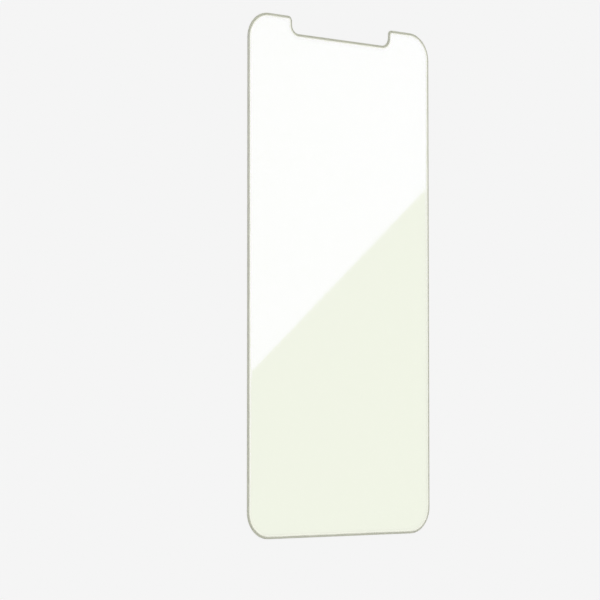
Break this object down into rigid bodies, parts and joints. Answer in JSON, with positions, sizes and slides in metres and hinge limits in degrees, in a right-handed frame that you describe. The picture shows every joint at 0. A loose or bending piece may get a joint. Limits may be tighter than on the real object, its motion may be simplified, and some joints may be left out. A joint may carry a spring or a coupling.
{
  "type": "phone screen protector",
  "caption": "Clear tempered-glass screen protector for a phone: a thin rounded sheet with a notch in one end and a curved ground edge, stuck over the display.",
  "frame": {"origin": "centre of the sheet's outline, on its adhesive face", "axes": "+X across the width, +Y along the length towards the notched end, +Z out of the face that is touched"},
  "size_m": [0.0658, 0.1384, 0.0003],
  "materials": {
    "clear_glass": "polished on both faces, with a faint yellow-green tint and a ground edge"
  },
  "bodies": {
    "root": {"glass_sheet": "clear_glass"}
  },
  "joints": []
}
